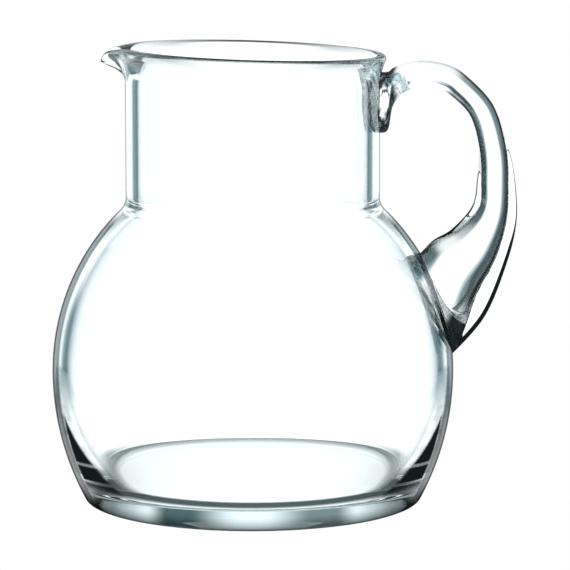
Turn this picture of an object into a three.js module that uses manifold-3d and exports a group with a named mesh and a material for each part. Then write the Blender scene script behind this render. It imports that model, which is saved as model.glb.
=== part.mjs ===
// A clear glass jug of about two litres: a blown vessel with a thick floor, a straight neck and a drawn
// spout, and a solid strap handle that is laid on hot at the neck and on the belly.
// Millimetres, +Z up. The origin is on the vessel's axis, on the table. The spout points along -X.
import * as THREE from "three";
import { mergeVertices } from "three/addons/utils/BufferGeometryUtils.js";
import Module from "manifold-3d";

// Outside of the vessel
const neckRadius = 50.6;
const bellyRadius = 80.3;
const bellyHeight = 51.7;
const upperBellyArc = 90;
const lowerBellyArc = 108;
const shoulderFillet = 7.6;
const heelFillet = 2;

// Glass left between the outside and the hollow
const neckWall = 4.85;
const bellyWall = 5.4;
const innerShoulderFillet = 7;
const floorThickness = 9;
const floorFillet = 10;
const innerLowerArc = 75;

// Rim, fire-polished round, opening out a little and leaning up towards the spout
const rimHeight = 180.2;
const rimWall = 3.6;
const rimFlare = 2.4;
const flareHeight = 11;
const rimLean = THREE.MathUtils.degToRad(1.8);

// Spout, drawn out of the soft rim: a broad channel with a narrow drip edge at its tip
const spoutReach = 8.8;
const spoutSpread = 9.6;
const spoutDepth = 19;
const spoutCurl = 7;
const spoutDrop = 2.3;
const dripDrop = 4;
const dripSpread = 3.6;

// Handle: the pad pressed on the neck, the strap over the fingers, and the foot spread on the belly.
// From the grip down the strap is a round rib with a thinner fin on its inner and on its outer side.
const handleGap = 0.3;
const padTopGap = 8.7;
const padHeight = 24;
const padWidth = 24;
const padThickness = 3.6;
const crestGap = 4.3;
const strapThickness = 10.8;
const strapWidth = 11.2;
const fingerGap = 39;
const gripThickness = 15.4;
const footTop = 99;
const footTip = 58.4;
const footWidth = 28;
const rootDepth = 2.5;
const innerFin = 1.6;
const outerFin = 2.8;
const finShare = 0.35;
const finBlend = 6;

// Facets
const turnSegments = 72;
const spoutCrowding = 0.55;
const lipRows = 7;
const handleSteps = 52;
const handleSides = 32;

const wasm = await Module();
wasm.setup();

// Points of an arc in a half outline, both ends included.
function arc(centre, radius, from, to, steps) {
  const points = [];
  for (let i = 0; i <= steps; i += 1) {
    const angle = from + ((to - from) * i) / steps;
    points.push(new THREE.Vector2(centre.x + radius * Math.cos(angle), centre.y + radius * Math.sin(angle)));
  }
  return points;
}

// Length of the second leg of a right-angled triangle.
function leg(hypotenuse, other) {
  return Math.sqrt(hypotenuse ** 2 - other ** 2);
}

// Direction from one point to another.
function heading(from, to) {
  return Math.atan2(to.y - from.y, to.x - from.x);
}

// Centre of the concave arc that leads from a belly arc into an upright neck of the given radius.
function shoulderCentre(bellyCentre, bellyArc, neck, fillet) {
  const x = neck + fillet;
  return new THREE.Vector2(x, bellyCentre.y + leg(bellyArc + fillet, x - bellyCentre.x));
}

// Centre of the arc that leads from a level face into a belly arc above it.
function heelCentre(bellyCentre, bellyArc, level, fillet) {
  const y = level + fillet;
  return new THREE.Vector2(bellyCentre.x + leg(bellyArc - fillet, bellyCentre.y - y), y);
}

const beadHeight = rimHeight - rimWall / 2;
const upperCentre = new THREE.Vector2(bellyRadius - upperBellyArc, bellyHeight);
const lowerCentre = new THREE.Vector2(bellyRadius - lowerBellyArc, bellyHeight);
const shoulder = shoulderCentre(upperCentre, upperBellyArc, neckRadius, shoulderFillet);

// Upright wall from the shoulder to the rim's bead, which opens out over the flare's height.
function neckWallPoints(foot, radius, flare) {
  const points = [];
  const spoutFoot = rimHeight - spoutDepth;
  for (let i = 0; i <= lipRows; i += 1) {
    const z = THREE.MathUtils.lerp(Math.max(spoutFoot, foot), beadHeight, i / lipRows);
    const open = Math.max(0, 1 - (beadHeight - z) / flareHeight);
    points.push(new THREE.Vector2(radius + flare * open ** 2, z));
  }
  return points;
}

// Half outline of the outside from the middle of the underside to the bead, grown by a skin.
function outsidePoints(skin) {
  const heel = heelCentre(lowerCentre, lowerBellyArc, 0, heelFillet);
  const heelEnd = heading(lowerCentre, heel);
  const shoulderStart = heading(upperCentre, shoulder);
  return [
    new THREE.Vector2(0, -skin),
    ...arc(heel, heelFillet + skin, -Math.PI / 2, heelEnd, 2),
    ...arc(lowerCentre, lowerBellyArc + skin, heelEnd, 0, 7).slice(1),
    ...arc(upperCentre, upperBellyArc + skin, 0, shoulderStart, 8).slice(1),
    ...arc(shoulder, shoulderFillet - skin, shoulderStart + Math.PI, Math.PI, 4).slice(1),
    ...neckWallPoints(shoulder.y, neckRadius + skin, rimFlare),
  ];
}

// Half outline of the hollow from the bead down to the middle of the floor.
function insidePoints() {
  const upperArc = upperBellyArc - bellyWall;
  const neck = neckRadius - neckWall;
  const turn = shoulderCentre(upperCentre, upperArc, neck, innerShoulderFillet);
  const lower = new THREE.Vector2(bellyRadius - bellyWall - innerLowerArc, bellyHeight);
  const corner = heelCentre(lower, innerLowerArc, floorThickness, floorFillet);
  const turnStart = heading(upperCentre, turn);
  const cornerEnd = heading(lower, corner);
  return [
    ...neckWallPoints(turn.y, neck, rimFlare + neckWall - rimWall).reverse(),
    ...arc(turn, innerShoulderFillet, Math.PI, turnStart + Math.PI, 4),
    ...arc(upperCentre, upperArc, turnStart, 0, 8).slice(1),
    ...arc(lower, innerLowerArc, 0, cornerEnd, 6).slice(1),
    ...arc(corner, floorFillet, cornerEnd, -Math.PI / 2, 4).slice(1),
    new THREE.Vector2(0, floorThickness),
  ];
}

function bell(share) {
  return Math.exp(-(share ** 2));
}

// Moves one point of the turned blank to where the spout and the leaning rim take it.
function drawLip(point) {
  const around = Math.atan2(point.y, -point.x);
  const angle = around - spoutCrowding * Math.sin(around);
  const across = angle * neckRadius;
  const rise = THREE.MathUtils.clamp(1 - (rimHeight - point.z) / spoutDepth, 0, 1);
  const reach = spoutReach * bell(across / spoutSpread) * rise ** spoutCurl;
  const fall = spoutDrop * bell(across / spoutSpread) + dripDrop * bell(across / dripSpread);
  const drop = fall * THREE.MathUtils.smoothstep(rise, 0, 1);
  const radius = Math.hypot(point.x, point.y) + reach;
  const lean = Math.tan(rimLean) * THREE.MathUtils.smoothstep(point.z, shoulder.y, rimHeight);
  point.set(-radius * Math.cos(angle), radius * Math.sin(angle), point.z - drop);
  point.z -= point.x * lean;
}

// Merges shared corners and drops the triangles that collapse on the axis.
function weld(geometry) {
  geometry.deleteAttribute("normal");
  geometry.deleteAttribute("uv");
  const welded = mergeVertices(geometry, 1e-4);
  const index = welded.index.array;
  const kept = [];
  for (let i = 0; i < index.length; i += 3) {
    const [a, b, c] = index.slice(i, i + 3);
    if (a !== b && b !== c && c !== a) {
      kept.push(a, b, c);
    }
  }
  welded.setIndex(kept);
  return welded;
}

// Turns a half outline round the axis and draws the spout out of it.
function blow(outline) {
  const geometry = new THREE.LatheGeometry(outline, turnSegments);
  geometry.rotateX(Math.PI / 2);
  const place = geometry.getAttribute("position");
  const point = new THREE.Vector3();
  for (let i = 0; i < place.count; i += 1) {
    drawLip(point.fromBufferAttribute(place, i));
    place.setXYZ(i, point.x, point.y, point.z);
  }
  return weld(geometry);
}

function makeVessel() {
  const bead = new THREE.Vector2(neckRadius + rimFlare - rimWall / 2, beadHeight);
  return blow([
    ...outsidePoints(0),
    ...arc(bead, rimWall / 2, 0, Math.PI, 6).slice(1, -1),
    ...insidePoints(),
  ]);
}

// Point on the belly's outside at a height above its widest part.
function onBelly(height) {
  return new THREE.Vector2(upperCentre.x + leg(upperBellyArc, height - bellyHeight), height);
}

// Sections of the handle from the neck round to the belly. Each spans from its inner edge, on the
// finger side, to its outer edge in the plane of symmetry. Its form holds its width across that plane
// and the widths of its inner and outer fin.
function handleSections() {
  const padTop = rimHeight - padTopGap;
  const padFoot = padTop - padHeight;
  const crest = rimHeight - crestGap;
  const under = crest - strapThickness;
  const loop = under - footTop;
  const top = onBelly(footTop);
  const tip = onBelly(footTip);
  const inward = new THREE.Vector2(tip.y - top.y, top.x - tip.x).setLength(rootDepth);
  const footLength = top.distanceTo(tip);
  const reach = (share) => neckRadius + fingerGap * share;
  const down = (share) => under - loop * share;
  const form = (width, inside = 0, outside = 0) =>
    new THREE.Vector3(width, innerFin * inside, outerFin * outside);
  const from = (x, y, thickness, degrees, sectionForm) => {
    const turn = THREE.MathUtils.degToRad(degrees);
    const spoke = new THREE.Vector2(Math.cos(turn), Math.sin(turn)).multiplyScalar(thickness);
    const inner = new THREE.Vector2(x, y);
    return { inner, outer: inner.clone().add(spoke), form: sectionForm };
  };
  const pad = form(padWidth);
  const root = form((padWidth + strapWidth) / 2);
  const strap = form(strapWidth);
  const fan = form((strapWidth + footWidth) / 2, 0.75, 2);
  const spread = form(footWidth * 0.92, 0.2, 3);
  const foot = form(footWidth);
  return [
    from(neckRadius - rootDepth, padFoot, padHeight, 90, pad),
    from(neckRadius + padThickness * 0.8, padFoot + padThickness * 0.2, padHeight * 0.97, 90, pad),
    from(reach(0.13), under - strapThickness * 0.65, strapThickness * 1.4, 89, root),
    from(reach(0.26), under - strapThickness * 0.13, strapThickness * 1.05, 88, strap),
    from(reach(0.46), under, strapThickness, 90, strap),
    from(reach(0.61), down(0.012), strapThickness * 0.96, 73, strap),
    from(reach(0.73), down(0.05), strapThickness * 0.92, 56, strap),
    from(reach(0.92), down(0.17), strapThickness * 0.93, 28, strap),
    from(reach(1), down(0.36), strapThickness * 1.12, 3, form(strapWidth, 0.3, 0.36)),
    from(reach(0.99), down(0.56), gripThickness, -3, form(strapWidth, 1, 1)),
    from(reach(0.943), down(0.715), gripThickness * 1.24, -22, form(strapWidth * 1.2, 1.5, 1.55)),
    from(reach(0.74), down(0.853), gripThickness * 1.72, -36, fan),
    from(top.x + gripThickness / 3, top.y + gripThickness / 3, footLength * 0.87, -56, spread),
    { inner: top, outer: tip, form: foot },
    { inner: top.clone().add(inward), outer: tip.clone().add(inward), form: foot },
  ];
}

// Half the width of a section at a distance from its inner edge: the rib or, beside it, the fin.
function halfWidthAt(distance, span, form) {
  const [width, inside, outside] = form.toArray().map((size) => Math.max(0, size));
  const ribRadius = (span - inside - outside) / 2;
  const finRadius = (finShare * width) / 2;
  const offRib = Math.min(1, Math.abs(distance - inside - ribRadius) / ribRadius);
  const offEdge = Math.min(1, Math.min(distance, span - distance) / finRadius);
  const rib = (width / 2) * leg(1, offRib);
  const fin = finRadius * leg(1, 1 - offEdge);
  return (rib ** finBlend + fin ** finBlend) ** (1 / finBlend);
}

// Closed skin over the sections: rings along two matching rails.
function loft(sections) {
  const rail = (pick) => new THREE.CatmullRomCurve3(sections.map(pick), false, "catmullrom");
  const inner = rail((s) => new THREE.Vector3(s.inner.x, 0, s.inner.y));
  const outer = rail((s) => new THREE.Vector3(s.outer.x, 0, s.outer.y));
  const forms = rail((s) => s.form);
  const points = [];
  const faces = [];
  for (let i = 0; i <= handleSteps; i += 1) {
    const share = i / handleSteps;
    const near = inner.getPoint(share);
    const far = outer.getPoint(share);
    const span = near.distanceTo(far);
    const form = forms.getPoint(share);
    for (let j = 0; j < handleSides; j += 1) {
      const angle = (2 * Math.PI * j) / handleSides;
      const along = (1 + Math.cos(angle)) / 2;
      const spot = near.clone().lerp(far, along);
      points.push(spot.x, Math.sign(Math.sin(angle)) * halfWidthAt(along * span, span, form), spot.z);
    }
  }
  const ring = (i, j) => i * handleSides + (j % handleSides);
  for (let i = 0; i < handleSteps; i += 1) {
    for (let j = 0; j < handleSides; j += 1) {
      faces.push(ring(i, j), ring(i + 1, j + 1), ring(i, j + 1));
      faces.push(ring(i, j), ring(i + 1, j), ring(i + 1, j + 1));
    }
  }
  for (let j = 1; j < handleSides - 1; j += 1) {
    faces.push(ring(0, 0), ring(0, j), ring(0, j + 1));
    faces.push(ring(handleSteps, 0), ring(handleSteps, j + 1), ring(handleSteps, j));
  }
  const geometry = new THREE.BufferGeometry();
  geometry.setAttribute("position", new THREE.Float32BufferAttribute(points, 3));
  geometry.setIndex(faces);
  return geometry;
}

function solid(geometry) {
  const vertProperties = new Float32Array(geometry.getAttribute("position").array);
  const triVerts = new Uint32Array(geometry.index.array);
  return new wasm.Manifold(new wasm.Mesh({ numProp: 3, vertProperties, triVerts }));
}

function geometryOf(manifold) {
  const mesh = manifold.getMesh();
  const geometry = new THREE.BufferGeometry();
  geometry.setAttribute("position", new THREE.BufferAttribute(mesh.vertProperties, 3));
  geometry.setIndex(new THREE.BufferAttribute(mesh.triVerts, 1));
  return geometry;
}

// The handle is laid on the vessel, so its ends take the shape of the vessel's outside.
function makeHandle() {
  const outside = outsidePoints(handleGap);
  const filled = blow([...outside, new THREE.Vector2(0, outside.at(-1).y)]);
  return geometryOf(solid(loft(handleSections())).subtract(solid(filled)));
}

// Clear, colourless glass
function glass() {
  return new THREE.MeshStandardMaterial({
    color: 0xe4f0f0,
    roughness: 0.03,
    metalness: 0,
    transparent: true,
    opacity: 0.35,
  });
}

const jug = new THREE.Group();
const pieces = { vessel: makeVessel(), handle: makeHandle() };
for (const [name, geometry] of Object.entries(pieces)) {
  const mesh = new THREE.Mesh(geometry, glass());
  mesh.name = name;
  jug.add(mesh);
}

export default jug;
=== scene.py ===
import math

import bmesh
import bpy
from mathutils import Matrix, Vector


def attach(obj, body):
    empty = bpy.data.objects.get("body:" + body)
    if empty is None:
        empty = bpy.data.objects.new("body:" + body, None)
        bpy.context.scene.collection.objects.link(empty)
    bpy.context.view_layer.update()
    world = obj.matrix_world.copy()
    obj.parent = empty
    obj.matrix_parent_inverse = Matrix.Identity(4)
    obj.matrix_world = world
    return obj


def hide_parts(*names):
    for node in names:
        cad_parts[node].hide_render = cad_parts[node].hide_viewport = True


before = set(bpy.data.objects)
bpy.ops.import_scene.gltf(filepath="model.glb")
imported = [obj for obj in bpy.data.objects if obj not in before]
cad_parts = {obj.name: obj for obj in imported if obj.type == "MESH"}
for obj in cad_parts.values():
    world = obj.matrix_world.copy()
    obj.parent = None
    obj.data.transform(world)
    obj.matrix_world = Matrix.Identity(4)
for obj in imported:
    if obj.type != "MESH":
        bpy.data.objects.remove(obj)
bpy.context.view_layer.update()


# Vessel
# The body is blown from one gather of clear, colourless glass in a turning mould, so it is round about its
# axis. The floor is left thick, the cut rim is melted round, and the spout is drawn out of the soft rim.

neck_radius = 0.0506
belly_radius = 0.0803
belly_height = 0.0517
upper_belly_arc = 0.090
lower_belly_arc = 0.108
shoulder_fillet = 0.0076
heel_fillet = 0.002
neck_wall = 0.00485
belly_wall = 0.0054
inner_shoulder_fillet = 0.007
floor_thickness = 0.009
floor_fillet = 0.010
inner_lower_arc = 0.075
rim_height = 0.1802
rim_wall = 0.0036
rim_flare = 0.0024
flare_height = 0.011
neck_steps = 40
face_steps = 12


def arc(centre, radius, start, end, steps):
    """Points of an arc in the half outline, both ends included."""
    angles = [start + (end - start) * i / steps for i in range(steps + 1)]
    return [Vector((centre.x + radius * math.cos(a), centre.y + radius * math.sin(a))) for a in angles]


def leg(hypotenuse, other):
    """Third side of a right-angled triangle."""
    return math.sqrt(hypotenuse ** 2 - other ** 2)


def heading(start, end):
    """Angle of the way from one point to another."""
    return math.atan2(end.y - start.y, end.x - start.x)


def shoulder_centre(belly_centre, belly_arc, neck, fillet):
    """Centre of the hollow arc that leads from a belly arc into an upright neck."""
    x = neck + fillet
    return Vector((x, belly_centre.y + leg(belly_arc + fillet, x - belly_centre.x)))


def heel_centre(belly_centre, belly_arc, level, fillet):
    """Centre of the arc that leads from a level face into a belly arc above it."""
    y = level + fillet
    return Vector((belly_centre.x + leg(belly_arc - fillet, belly_centre.y - y), y))


bead_height = rim_height - rim_wall / 2
upper_centre = Vector((belly_radius - upper_belly_arc, belly_height))
lower_centre = Vector((belly_radius - lower_belly_arc, belly_height))
shoulder = shoulder_centre(upper_centre, upper_belly_arc, neck_radius, shoulder_fillet)


def neck_points(foot, radius, flare):
    """Upright wall up to the rim's bead, opening out over the flare's height."""
    points = []
    for i in range(neck_steps + 1):
        z = foot + (bead_height - foot) * (i / neck_steps)
        opening = max(0.0, 1 - (bead_height - z) / flare_height)
        points.append(Vector((radius + flare * opening ** 2, z)))
    return points


def outside_points():
    """From the middle of the underside up to the bead."""
    heel = heel_centre(lower_centre, lower_belly_arc, 0, heel_fillet)
    heel_end = heading(lower_centre, heel)
    shoulder_start = heading(upper_centre, shoulder)
    return [
        *[Vector((heel.x * i / face_steps, 0)) for i in range(face_steps)],
        *arc(heel, heel_fillet, -math.pi / 2, heel_end, 10),
        *arc(lower_centre, lower_belly_arc, heel_end, 0, 30)[1:],
        *arc(upper_centre, upper_belly_arc, 0, shoulder_start, 40)[1:],
        *arc(shoulder, shoulder_fillet, shoulder_start + math.pi, math.pi, 14)[1:-1],
        *neck_points(shoulder.y, neck_radius, rim_flare),
    ]


def inside_points():
    """From the bead down to the middle of the floor."""
    upper_arc = upper_belly_arc - belly_wall
    neck = neck_radius - neck_wall
    turn = shoulder_centre(upper_centre, upper_arc, neck, inner_shoulder_fillet)
    lower = Vector((belly_radius - belly_wall - inner_lower_arc, belly_height))
    corner = heel_centre(lower, inner_lower_arc, floor_thickness, floor_fillet)
    turn_start = heading(upper_centre, turn)
    corner_end = heading(lower, corner)
    return [
        *reversed(neck_points(turn.y, neck, rim_flare + neck_wall - rim_wall)),
        *arc(turn, inner_shoulder_fillet, math.pi, turn_start + math.pi, 14)[1:],
        *arc(upper_centre, upper_arc, turn_start, 0, 40)[1:],
        *arc(lower, inner_lower_arc, 0, corner_end, 24)[1:],
        *arc(corner, floor_fillet, corner_end, -math.pi / 2, 16)[1:],
        *[Vector((corner.x * (1 - i / face_steps), floor_thickness)) for i in range(1, face_steps + 1)],
    ]


class Wire:
    """An output of a node. Arithmetic on it adds Math nodes to its tree."""

    def __init__(self, tree, socket=None):
        self.tree = tree
        self.socket = socket

    def node(self, kind, settings=None, inputs=None, output=0):
        """Adds a node: its settings first, then the values or links of its sockets."""
        made = self.tree.nodes.new(kind)
        for name, value in (settings or {}).items():
            if name == "stops":
                elements = made.color_ramp.elements
                while len(elements) < len(value):
                    elements.new(0.5)
                for element, (place, colour) in zip(elements, value):
                    element.position = place
                    element.color = (*colour, 1)
            else:
                setattr(made, name, value)
        for key, value in (inputs or {}).items():
            if isinstance(value, Wire):
                self.tree.links.new(value.socket, made.inputs[key])
            else:
                made.inputs[key].default_value = value
        return Wire(self.tree, made.outputs[output] if len(made.outputs) else None)

    def output(self, name):
        """Another output of the same node."""
        return Wire(self.tree, self.socket.node.outputs[name])

    def parts(self):
        """The X, Y and Z of a vector."""
        split = self.node("ShaderNodeSeparateXYZ", {}, {"Vector": self})
        return [split.output(axis) for axis in "XYZ"]

    def maths(self, operation, *values):
        """A Math node on these values."""
        return self.node("ShaderNodeMath", {"operation": operation}, dict(enumerate(values)))

    def __add__(self, other):
        return self.maths("ADD", self, other)

    __radd__ = __add__

    def __sub__(self, other):
        return self.maths("SUBTRACT", self, other)

    def __rsub__(self, other):
        return self.maths("SUBTRACT", other, self)

    def __mul__(self, other):
        return self.maths("MULTIPLY", self, other)

    __rmul__ = __mul__

    def __truediv__(self, other):
        return self.maths("DIVIDE", self, other)

    def __pow__(self, other):
        return self.maths("POWER", self, other)

    def most(self, *others):
        """The largest of this value and others."""
        largest = self
        for other in others:
            largest = self.maths("MAXIMUM", largest, other)
        return largest

    def smooth(self, low, high):
        """0 below low, 1 above high and an even curve between them."""
        return self.node("ShaderNodeMapRange", {"interpolation_type": "SMOOTHSTEP"},
                         {"Value": self, "From Min": low, "From Max": high})

    def shift(self, first, last):
        """A span that moves from first to last as this value goes from 0 to 1."""
        return [start + (end - start) * self for start, end in zip(first, last)]

    def ramp(self, *stops):
        """Colour that passes through the stops, each a value and a colour."""
        return self.node("ShaderNodeValToRGB", {"stops": stops}, {"Fac": self})

    def blend(self, low, high):
        """Colour that passes from low to high as this value goes from 0 to 1."""
        first, last = [end if isinstance(end, Wire) else (*end, 1) for end in (low, high)]
        return self.node("ShaderNodeMix", {"data_type": "RGBA"}, {"Factor": self, 6: first, 7: last}, 2)


blowing = bpy.data.node_groups.new("blown_vessel", "GeometryNodeTree")
blowing.interface.new_socket("Outline", in_out="INPUT", socket_type="NodeSocketGeometry")
blowing.interface.new_socket("Vessel", in_out="OUTPUT", socket_type="NodeSocketGeometry")
vessel_sizes = {
    "Turns": 256,
    "Crowding": 0.55,
    "Neck Radius": neck_radius,
    "Rim Height": rim_height,
    "Shoulder Height": shoulder.y,
    "Rim Lean": math.tan(math.radians(1.8)),
    "Spout Reach": 0.0088,
    "Spout Spread": 0.0096,
    "Spout Depth": 0.019,
    "Spout Curl": 7.0,
    "Spout Drop": 0.0023,
    "Drip Drop": 0.004,
    "Drip Spread": 0.0036,
}
vessel_keys = {}
for name, size in vessel_sizes.items():
    kind = "NodeSocketInt" if isinstance(size, int) else "NodeSocketFloat"
    vessel_keys[name] = blowing.interface.new_socket(name, in_out="INPUT", socket_type=kind).identifier
glass_key = blowing.interface.new_socket("Glass", in_out="INPUT", socket_type="NodeSocketMaterial").identifier

given = Wire(blowing).node("NodeGroupInput")
outline = given.output("Outline")
turns = given.output("Turns")
rows = given.node("GeometryNodeAttributeDomainSize", {"component": "MESH"}, {"Geometry": outline})
blank = given.node("GeometryNodeMeshGrid", {},
                   {"Vertices X": rows.output("Point Count"), "Vertices Y": turns + 1})
number = given.node("GeometryNodeInputIndex")
row = given.maths("FLOOR", number / (turns + 1))
column = given.maths("MODULO", number, turns + 1)


def at_row(kind, value):
    """A value of the outline at the row that a corner of the blank belongs to."""
    return given.node("GeometryNodeSampleIndex", {"data_type": kind, "domain": "POINT"},
                      {"Geometry": outline, "Value": value, "Index": row})


wall_radius, _, wall_height = at_row("FLOAT_VECTOR", given.node("GeometryNodeInputPosition")).parts()
around = (column / turns * 2 - 1) * math.pi
angle = around - given.output("Crowding") * given.maths("SINE", around)
across = angle * given.output("Neck Radius")
under_rim = (given.output("Rim Height") - wall_height) / given.output("Spout Depth")
pull = given.node("ShaderNodeMapRange", {}, {"Value": under_rim, "To Min": 1, "To Max": 0})
channel = given.maths("EXPONENT", -1 * (across / given.output("Spout Spread")) ** 2)
drip = given.maths("EXPONENT", -1 * (across / given.output("Drip Spread")) ** 2)
reach = given.output("Spout Reach") * channel * pull ** given.output("Spout Curl")
drop = (given.output("Spout Drop") * channel + given.output("Drip Drop") * drip) * pull.smooth(0, 1)
radius = wall_radius + reach
on_neck = wall_height.smooth(given.output("Shoulder Height"), given.output("Rim Height"))
lean = given.output("Rim Lean") * on_neck
along = -1 * radius * given.maths("COSINE", angle)
drawn = given.node("ShaderNodeCombineXYZ", {}, {"X": along, "Y": radius * given.maths("SINE", angle),
                                                "Z": wall_height - drop - along * lean})
skin = given.node("GeometryNodeSetPosition", {}, {"Geometry": blank, "Position": drawn})
for zone, share in {"hollow": 1, "lip": given.maths("SINE", angle) ** 2, "heel": 1}.items():
    mark = given.node("GeometryNodeInputNamedAttribute", {"data_type": "FLOAT"}, {"Name": zone})
    skin = given.node("GeometryNodeStoreNamedAttribute", {"data_type": "FLOAT", "domain": "POINT"},
                      {"Geometry": skin, "Name": zone, "Value": at_row("FLOAT", mark) * share})
skin = given.node("GeometryNodeMergeByDistance", {}, {"Geometry": skin, "Distance": 1e-6})
skin = given.node("GeometryNodeSetShadeSmooth", {}, {"Geometry": skin})
skin = given.node("GeometryNodeRealizeInstances", {}, {"Geometry": skin})
skin = given.node("GeometryNodeSetMaterial", {}, {"Geometry": skin, "Material": given.output("Glass")})
given.node("NodeGroupOutput", {}, {"Vessel": skin})


clear_tone = (0.98, 0.996, 0.996)
# Colour of the painted shade mixed into the glass at its edges.
painted_shade_tone = (0.008, 0.011, 0.012)
shine_tone = (0.75, 0.95, 1)
depth_tone = (0.2, 0.62, 0.68)
depth_density = 2.2
refraction = 1.52


def clear_glass(name, swirl_size, swirl_depth, edges):
    """Colourless glass, smooth from the fire, with the slow waves that hot work leaves in the surface and a
    weak tint through its depth. edges gives painted shade where the surface turns edge-on to the viewer: a
    darker tone and a share of a dark surface, standing in for the dark surroundings seen through the glass
    there."""
    material = bpy.data.materials.new(name)
    material.use_nodes = True
    tree = material.node_tree
    tree.nodes.clear()
    place = Wire(tree).node("ShaderNodeTexCoord").output("Object")
    swirl = place.node("ShaderNodeTexNoise", {}, {"Vector": place, "Scale": 1 / swirl_size, "Detail": 1.0})
    waves = place.node("ShaderNodeBump", {}, {"Strength": 1.0, "Distance": swirl_depth, "Height": swirl})
    facing = place.node("ShaderNodeLayerWeight", {}, {"Blend": 0.5}, "Facing")
    tone, share = edges(place, facing)
    glass = place.node("ShaderNodeBsdfPrincipled", {}, {
        "Base Color": tone, "Roughness": 0.0, "IOR": refraction, "Transmission Weight": 1.0,
        "Specular Tint": (*shine_tone, 1), "Normal": waves})
    # Painted shade: a dark surface mixed into the glass by the edges' share, standing in for dark
    # surroundings seen through it.
    dark = place.node("ShaderNodeBsdfPrincipled", {}, {
        "Base Color": (*painted_shade_tone, 1), "Roughness": 0.6, "Specular IOR Level": 0.0})
    shader = place.node("ShaderNodeMixShader", {}, {0: share, 1: glass, 2: dark})
    tint = place.node("ShaderNodeVolumeAbsorption", {}, {"Color": (*depth_tone, 1), "Density": depth_density})
    place.node("ShaderNodeOutputMaterial", {}, {"Surface": shader, "Volume": tint})
    return material


# A span is two values between which a share of tone or darkness grows: heights or distances in metres, or
# turns of the surface away from the viewer from 0, facing it, to 1, edge-on.
# Painted shade on the vessel's glass: tones and dark shares for the outline outside and in the hollow, a teal
# band beside the belly, and a dark wedge with bright lines above the heel.
belly_outline_stops = ((0.735, clear_tone), (0.765, (0.026, 0.058, 0.071)))
hollow_outline_stops = ((0.60, clear_tone), (0.76, (0.7, 0.76, 0.8)), (0.88, (0.12, 0.19, 0.22)))
shoulder_heights = (0.111, 0.118)
inner_shoulder_heights = (0.100, 0.108)
teal_share = 0.42
teal_turns = (0.735, 0.775)
neck_line_share = 0.65
belly_line_share = 0.45
line_turns = (0.84, 0.90)
lip_turns = (0.05, 0.28)
heel_turns = (0.10, 0.28)
wedge_level = 0.015
wedge_level_turns = (0.47, 0.51)
wedge_slope = 10.2
wedge_end_turns = (0.72, 0.75)
wedge_foot_heights = (0.009, 0.013)
wedge_top_heights = (0.038, 0.046)
wedge_line_levels = (0.0171, 0.0241)
wedge_line_lean = 0.006
wedge_line_share = 0.25
wedge_line_widths = (0.0003, 0.0009)


def vessel_edge_shade(place, facing):
    """Painted shade, standing in for the dark surroundings seen through the glass: dark along the outline,
    the lip and the heel, teal beside the outline of the belly, a dark wedge with two bright lines above the
    heel, and a soft line where the hollow turns away."""
    height = place.parts()[2]
    belly = 1 - height.smooth(*shoulder_heights)
    inner_belly = 1 - height.smooth(*inner_shoulder_heights)
    hollow, lip, heel = [place.node("ShaderNodeAttribute", {"attribute_name": zone}, {}, "Fac")
                         for zone in ("hollow", "lip", "heel")]
    outside = belly.blend(clear_tone, facing.ramp(*belly_outline_stops))
    inside = (facing * inner_belly).ramp(*hollow_outline_stops)
    tone = hollow.blend(outside, inside)
    teal = teal_share * belly * facing.smooth(*teal_turns)
    line = (neck_line_share + (belly_line_share - neck_line_share) * belly) * facing.smooth(*line_turns)
    wedge_shift = wedge_slope * (height - wedge_level)
    wedge = facing.smooth(*[turn + wedge_shift for turn in wedge_level_turns])
    wedge = wedge * (1 - facing.smooth(*wedge_end_turns))
    wedge = wedge * height.smooth(*wedge_foot_heights) * (1 - height.smooth(*wedge_top_heights))
    for line_level in wedge_line_levels:
        off_line = place.maths("ABSOLUTE", height + wedge_line_lean * facing - line_level)
        wedge = wedge * (wedge_line_share + (1 - wedge_line_share) * off_line.smooth(*wedge_line_widths))
    # Painted shade: the outline's dark share on the outer skin, with the painted dark lip and heel.
    outline_share = (teal + line + wedge) * (1 - hollow)
    return tone, outline_share.most(lip * facing.smooth(*lip_turns), heel * facing.smooth(*heel_turns))


# How far the painted shade of the lip and the heel reaches, and how strong it is.
lip_height = 0.0045
inner_lip_share = 0.12
heel_height = 0.006
heel_share = 0.95
underside_radius = 0.06
bead = Vector((neck_radius + rim_flare - rim_wall / 2, bead_height))
outside_rows = outside_points()
bead_rows = arc(bead, rim_wall / 2, 0, math.pi, 16)[1:-1]
half_outline = [*outside_rows, *bead_rows, *inside_points()]
hollow_start = len(outside_rows) + len(bead_rows)
edge_mesh = bpy.data.meshes.new("half_outline")
edge_mesh.from_pydata([(p.x, 0, p.y) for p in half_outline],
                      [(i, i + 1) for i in range(len(half_outline) - 1)], [])
zone_marks = {
    "hollow": [float(i >= hollow_start) for i in range(len(half_outline))],
    "lip": [max(0, 1 - abs(p.y - rim_height) / lip_height) * (inner_lip_share if i > hollow_start else 1)
            for i, p in enumerate(half_outline)],
    "heel": [heel_share * max(0, 1 - p.y / heel_height) * (p.x > underside_radius) * (i < len(outside_rows))
             for i, p in enumerate(half_outline)],
}
for name, marks in zone_marks.items():
    edge_mesh.attributes.new(name, "FLOAT", "POINT").data.foreach_set("value", marks)
blower = bpy.data.objects.new("half_outline", edge_mesh)
bpy.context.scene.collection.objects.link(blower)
modifier = blower.modifiers.new("blow", "NODES")
modifier.node_group = blowing
for name, size in vessel_sizes.items():
    modifier[vessel_keys[name]] = size
modifier[glass_key] = clear_glass("vessel_glass", swirl_size=0.03, swirl_depth=0.00002, edges=vessel_edge_shade)


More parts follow.
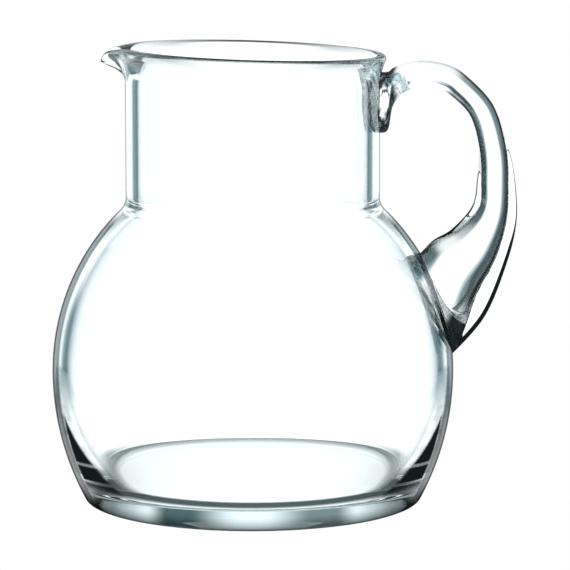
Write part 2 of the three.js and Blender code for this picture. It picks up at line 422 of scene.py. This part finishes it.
def finished(worker, name):
    """The evaluated shape of a working object as a plain piece at the origin. The working object goes."""
    depsgraph = bpy.context.evaluated_depsgraph_get()
    mesh = bpy.data.meshes.new_from_object(worker.evaluated_get(depsgraph), depsgraph=depsgraph)
    mesh.name = name
    bpy.data.objects.remove(worker)
    piece = bpy.data.objects.new(name, mesh)
    bpy.context.scene.collection.objects.link(piece)
    return piece


vessel = finished(blower, "blown_vessel")
vessel.visible_shadow = False
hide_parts("vessel")
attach(vessel, "root")


# Handle
# The handle is a solid strap of hot glass, pressed on the neck as a pad, bent over and down, and spread on
# the belly as a foot. From the grip down it is a round rib with a thin fin on each side. Both ends fuse on.

pad_top_gap = 0.0087
pad_height = 0.024
pad_width = 0.024
pad_thickness = 0.0036
crest_gap = 0.0043
strap_thickness = 0.0108
strap_width = 0.0112
finger_gap = 0.039
grip_thickness = 0.0154
foot_top = 0.099
foot_tip = 0.0584
foot_width = 0.028
root_depth = 0.0025
inner_fin = 0.0016
outer_fin = 0.0028
fin_share = 0.24
fin_blend = 6


def on_belly(height):
    """Point of the belly's outside at a height above its widest part."""
    return Vector((upper_centre.x + leg(upper_belly_arc, height - belly_height), height))


def section(x, z, thickness, degrees, width, inside=0.0, outside=0.0):
    """Inner and outer edge of one section of the strap in its plane, then its width across and its fins."""
    turn = math.radians(degrees)
    inner = Vector((x, z))
    outer = inner + thickness * Vector((math.cos(turn), math.sin(turn)))
    return inner, outer, Vector((width, inner_fin * inside, outer_fin * outside))


def handle_sections():
    """Sections from the neck round to the belly."""
    pad_foot = rim_height - pad_top_gap - pad_height
    under = rim_height - crest_gap - strap_thickness
    loop = under - foot_top
    top = on_belly(foot_top)
    tip = on_belly(foot_tip)
    inward = Vector((tip.y - top.y, top.x - tip.x)).normalized() * root_depth
    foot_length = (tip - top).length
    ankle = grip_thickness / 3

    def reach(share):
        return neck_radius + finger_gap * share

    def down(share):
        return under - loop * share

    return [
        section(neck_radius - root_depth, pad_foot, pad_height, 90, pad_width),
        section(neck_radius + pad_thickness * 0.8, pad_foot + pad_thickness * 0.2, pad_height * 0.97, 90,
                pad_width),
        section(reach(0.13), under - strap_thickness * 0.65, strap_thickness * 1.4, 89,
                (pad_width + strap_width) / 2),
        section(reach(0.26), under - strap_thickness * 0.13, strap_thickness * 1.05, 88, strap_width),
        section(reach(0.46), under, strap_thickness, 90, strap_width),
        section(reach(0.61), down(0.012), strap_thickness * 0.96, 73, strap_width),
        section(reach(0.73), down(0.05), strap_thickness * 0.92, 56, strap_width),
        section(reach(0.92), down(0.17), strap_thickness * 0.93, 28, strap_width),
        section(reach(1), down(0.36), strap_thickness * 1.12, 3, strap_width, 0.3, 0.36),
        section(reach(0.99), down(0.56), grip_thickness, -3, strap_width, 1, 1),
        section(reach(0.943), down(0.715), grip_thickness * 1.24, -22, strap_width * 1.2, 1.5, 1.55),
        section(reach(0.74), down(0.853), grip_thickness * 1.72, -36, (strap_width + foot_width) / 2,
                0.75, 2),
        section(top.x + ankle, top.y + ankle, foot_length * 0.87, -56, foot_width * 0.92, 0.2, 3),
        (top, tip, Vector((foot_width, 0, 0))),
        (top + inward, tip + inward, Vector((foot_width, 0, 0))),
    ]


def through(knots, share):
    """Point at a share of the way along an even curve through the knots."""
    knots = [2 * knots[0] - knots[1], *knots, 2 * knots[-1] - knots[-2]]
    spot = share * (len(knots) - 3)
    i = min(int(spot), len(knots) - 4)
    t = spot - i
    before, start, end, after = knots[i:i + 4]
    leaving = (end - before) / 2
    arriving = (after - start) / 2
    return (start + leaving * t + (3 * (end - start) - 2 * leaving - arriving) * t ** 2
            + (2 * (start - end) + leaving + arriving) * t ** 3)


def make_strap(steps, sides):
    """Closed skin along the two rails of the sections: a round rib with a thinner fin towards each rail."""
    inner, outer, forms = zip(*handle_sections())
    strap_skin = bmesh.new()
    fin_marks = strap_skin.verts.layers.float.new("fin")
    rings = []
    for i in range(steps + 1):
        near = through(inner, i / steps)
        far = through(outer, i / steps)
        width, inside, outside = [max(0, size) for size in through(forms, i / steps)]
        span = (far - near).length
        rib = (span - inside - outside) / 2
        fin = fin_share * width / 2
        ring = []
        for j in range(sides):
            turn = 2 * math.pi * j / sides
            share = (1 + math.cos(turn)) / 2
            off_rib = min(1, abs(share * span - inside - rib) / rib)
            off_edge = min(1, min(share, 1 - share) * span / fin)
            depth = ((width / 2 * leg(1, off_rib)) ** fin_blend
                     + (fin * leg(1, 1 - off_edge)) ** fin_blend) ** (1 / fin_blend)
            spot = near.lerp(far, share)
            corner = strap_skin.verts.new((spot.x, math.copysign(depth, math.sin(turn)), spot.y))
            corner[fin_marks] = float(off_rib == 1)
            ring.append(corner)
        rings.append(ring)
    for ring, following in zip(rings, rings[1:]):
        for j in range(sides):
            k = (j + 1) % sides
            strap_skin.faces.new((ring[j], following[j], following[k], ring[k])).smooth = True
    strap_skin.faces.new(rings[0])
    strap_skin.faces.new(reversed(rings[-1]))
    bmesh.ops.recalc_face_normals(strap_skin, faces=strap_skin.faces)
    mesh = bpy.data.meshes.new("strap")
    strap_skin.to_mesh(mesh)
    strap_skin.free()
    return mesh


# Painted shade and light on the handle's glass: dark bands, fin edges and tip, and paler parts where the
# strap faces up or down.
band_stops = ((0.10, clear_tone), (0.16, (0.2, 0.27, 0.29)), (0.21, (0.025, 0.038, 0.042)),
              (0.45, (0.008, 0.013, 0.015)))
crest_share = 0.65
crest_slants = (0.72, 0.97)
underside_share = 0.95
underside_slants = (0.70, 0.98)
root_share = 0.8
root_distances = (0.064, 0.072)
root_heights = (0.152, 0.158)
pad_distances = (0.0555, 0.0580)
foot_end_share = 0.7
foot_end_heights = (0.070, 0.082)
rib_share = 0.88
rib_turns = (0.40, 0.62)
grip_fin_turns = (0.30, 0.50)
foot_fin_turns = (0.03, 0.08)
foot_fin_heights = (0.100, 0.120)
fin_rounding = (0.22, 0.32)
fin_end_heights = (0.118, 0.134)
tip_share = 0.98
tip_turns = (0.04, 0.20)
tip_start = Vector((0.0719, 0.0841))
tip_slope = 0.881
tip_depths = (0.0008, 0.0025)
streak_share = 0.9
streak_stretch = (1, 1, 0.2)
streak_scale = 420.0
streak_levels = (0.44, 0.54)
streak_distances = (0.0535, 0.0560)
streak_heights = (0.13, 0.14)
streak_turns = (0, 0.05)
least_in_plane = 0.02


def handle_edge_shade(place, facing):
    """Painted shade and light on the outer skin alone, standing in for the surroundings seen through the
    glass: dark bands along the rib, painted paler where the strap lies level and at its root, thin dark edges
    on the fins and a dark tip under the foot. Dark streaks are painted on the neck beside the pad."""
    surface = place.node("ShaderNodeNewGeometry")
    facing = facing * (1 - surface.output("Backfacing"))
    _, sideways, upwards = surface.output("Normal").parts()
    in_plane = (1 - sideways ** 2) ** 0.5
    slant = upwards / in_plane.most(least_in_plane)
    out, _, height = place.parts()
    fin = place.node("ShaderNodeAttribute", {"attribute_name": "fin"}, {}, "Fac")
    # Painted light: the dark band is left pale where the strap faces up or down, as if lit from above and
    # from the sheet below; it is pale too at the root, on the fins and at the foot's end.
    crest = crest_share * slant.smooth(*crest_slants)
    underside = underside_share * (-1 * slant).smooth(*underside_slants)
    root = root_share * (1 - out.smooth(*root_distances)) * height.smooth(*root_heights)
    foot_end = foot_end_share * (1 - height.smooth(*foot_end_heights))
    plain = (out.smooth(*pad_distances) * crest.most(underside, root)).most(fin, foot_end)
    tone = plain.blend(facing.ramp(*band_stops), clear_tone)
    rib = rib_share * facing.smooth(*rib_turns) * (1 - plain)
    foot = 1 - height.smooth(*foot_fin_heights)
    fin_edge = fin * facing.smooth(*foot.shift(grip_fin_turns, foot_fin_turns))
    fin_edge = fin_edge * in_plane.smooth(*fin_rounding) * (1 - height.smooth(*fin_end_heights))
    # Painted shade: a dark tip under the foot.
    under_foot = tip_start.y - tip_slope * (out - tip_start.x) - height
    tip = tip_share * under_foot.smooth(*tip_depths) * facing.smooth(*tip_turns)
    # Dark streaks painted on the neck beside the pad.
    drawn_out = place.node("ShaderNodeMapping", {}, {"Vector": place, "Scale": streak_stretch})
    streak = place.node("ShaderNodeTexNoise", {}, {"Vector": drawn_out, "Scale": streak_scale, "Detail": 2.0})
    by_neck = (1 - out.smooth(*streak_distances)) * height.smooth(*streak_heights)
    neck_streaks = streak_share * by_neck * streak.smooth(*streak_levels) * facing.smooth(*streak_turns)
    return tone, rib.most(fin_edge, neck_streaks, tip)


handle_glass = clear_glass("handle_glass", swirl_size=0.02, swirl_depth=0.00003, edges=handle_edge_shade)
strap_mesh = make_strap(steps=220, sides=128)
strap_mesh.materials.append(handle_glass)
strap = bpy.data.objects.new("strap", strap_mesh)
bpy.context.scene.collection.objects.link(strap)
seat = strap.modifiers.new("seat", "BOOLEAN")
seat.operation = "DIFFERENCE"
seat.solver = "EXACT"
seat.object = vessel
handle = finished(strap, "laid_handle")
handle.visible_shadow = False
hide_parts("handle")
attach(handle, "root")


# Stage
# The jug stands on a lit sheet of white opal plastic before a white wall. Dark cards stand behind it on the
# left and right and dark strips hang on the wall. The sheet carries a painted contact shadow, a dark ring
# under the heel, and painted shade at the left and right. Only the glass shows them.

white = (1, 1, 1)
sheet_white = (1.27, 1.3, 1.3)
# Painted shade on the sheet at the left and right, near the jug and further out.
sheet_shade_near = (0.6, 0.68, 0.7)
sheet_shade_far = (0.26, 0.37, 0.4)
# Painted contact shadow in a ring under the heel.
contact_shadow_tone = (0.03, 0.048, 0.053)
sheet_radius = 0.42
sheet_gap = 0.0002
ring_squeeze = 0.85
ring_inner_distances = (0.046, 0.0555)
ring_outer_distances = (0.0575, 0.069)
front_inner_distances = (0.050, 0.0585)
front_outer_distances = (0.0655, 0.085)
front_depths = (-0.045, -0.015)
ring_back_loss = 0.8
ring_back_depths = (0, 0.035)
shade_behind_distances = (0.13, 0.22)
shade_beside_distances = (0.07, 0.12)
shade_fade_distances = (0.12, 0.40)


def swung(degrees):
    """An angle from the middle of the wall, as a share of half a turn."""
    return degrees / 180


table_mesh = bpy.data.meshes.new("table")
ground = bmesh.new()
bmesh.ops.create_circle(ground, cap_ends=True, radius=sheet_radius, segments=96)
ground.to_mesh(table_mesh)
ground.free()
table = bpy.data.objects.new("table", table_mesh)
table.location.z = -sheet_gap
bpy.context.scene.collection.objects.link(table)
opal = bpy.data.materials.new("opal_sheet")
opal.use_nodes = True
opal.node_tree.nodes.clear()
sideways, back, _ = Wire(opal.node_tree).node("ShaderNodeTexCoord").output("Object").parts()
aside = back.maths("ABSOLUTE", sideways)
distance = ((ring_squeeze * aside) ** 2 + back ** 2) ** 0.5
front = 1 - back.smooth(*front_depths)
# The painted contact-shadow ring under the heel, wider at the front and weaker at the back.
ring = distance.smooth(*front.shift(ring_inner_distances, front_inner_distances))
ring = ring * (1 - distance.smooth(*front.shift(ring_outer_distances, front_outer_distances)))
ring = ring * (1 - ring_back_loss * back.smooth(*ring_back_depths))
# Painted shade on the sheet at the left and right, fading outwards.
sheet_swing = back.maths("ARCTAN2", aside, back) / math.pi
beside = sheet_swing.smooth(swung(45), swung(70))
card_shade = sheet_swing.smooth(swung(33), swung(42)) * (1 - sheet_swing.smooth(swung(58), swung(75)))
card_shade = card_shade * distance.smooth(*beside.shift(shade_behind_distances, shade_beside_distances))
dimmed = distance.smooth(*shade_fade_distances).blend(sheet_shade_near, sheet_shade_far)
sheet_tone = ring.blend(card_shade.blend(sheet_white, dimmed), contact_shadow_tone)
sheet_seen = back.node("ShaderNodeLightPath").output("Is Camera Ray")
glow = back.node("ShaderNodeEmission", {}, {"Color": sheet_seen.blend(sheet_tone, white), "Strength": 1.0})
back.node("ShaderNodeOutputMaterial", {}, {"Surface": glow})
table_mesh.materials.append(opal)

wall_white = (1.22, 1.28, 1.3)
card_edge = (0.12, 0.22, 0.25)
card_dark = (0.08, 0.16, 0.185)
card_top_edge = (0.9, 0.95, 0.97)
card_top = (0.5, 0.56, 0.58)
room_grey = (0.8, 0.84, 0.85)
strip_dark = (0.06, 0.11, 0.12)
left_strip_loss = 0.14


def raised(degrees):
    """Height of a direction that points up by an angle."""
    return math.sin(math.radians(degrees))


studio = bpy.data.worlds.new("studio")
studio.use_nodes = True
studio.node_tree.nodes.clear()
bpy.context.scene.world = studio
right, ahead, rise = Wire(studio.node_tree).node("ShaderNodeTexCoord").output("Generated").parts()
swing = rise.maths("ARCTAN2", rise.maths("ABSOLUTE", right), ahead) / math.pi
cards = swing.ramp((swung(28), wall_white), (swung(34), card_edge), (swung(42), card_dark),
                   (swung(47), card_dark), (swung(56), room_grey))
over_cards = swing.ramp((swung(26), wall_white), (swung(32), card_top_edge), (swung(44), card_top),
                        (swung(56), room_grey))
cards = rise.smooth(raised(-16), raised(-11)).blend(wall_white, cards)
walls = rise.smooth(raised(1), raised(9)).blend(cards, over_cards)
strip = swing.smooth(swung(2), swung(14)) * (1 - swing.smooth(swung(20), swung(28)))
strip = strip * rise.smooth(raised(5), raised(9)) * (1 - rise.smooth(raised(17), raised(23)))
strip = strip * (1 - left_strip_loss * (1 - rise.maths("SIGN", right)) / 2)
walls = strip.blend(walls, strip_dark)
wall_seen = rise.node("ShaderNodeLightPath").output("Is Camera Ray")
light = rise.node("ShaderNodeBackground", {}, {"Color": wall_seen.blend(walls, white), "Strength": 1.0})
rise.node("ShaderNodeOutputWorld", {}, {"Surface": light})

glass_bounces = 200
scene = bpy.context.scene
scene.view_settings.view_transform = "Standard"
scene.cycles.max_bounces = glass_bounces
scene.cycles.transmission_bounces = glass_bounces
scene.cycles.glossy_bounces = glass_bounces
scene.cycles.transparent_max_bounces = 32

camera_aim = Vector((0.01284, 0, 0.0861))
camera = bpy.data.objects.new("camera", bpy.data.cameras.new("camera"))
scene.collection.objects.link(camera)
camera.location = (camera_aim.x, -1.3674, 0.2850)
camera.rotation_euler = (camera_aim - camera.location).to_track_quat("-Z", "Y").to_euler()
camera.data.lens = 218.2
camera.data.sensor_width = 36
scene.camera = camera
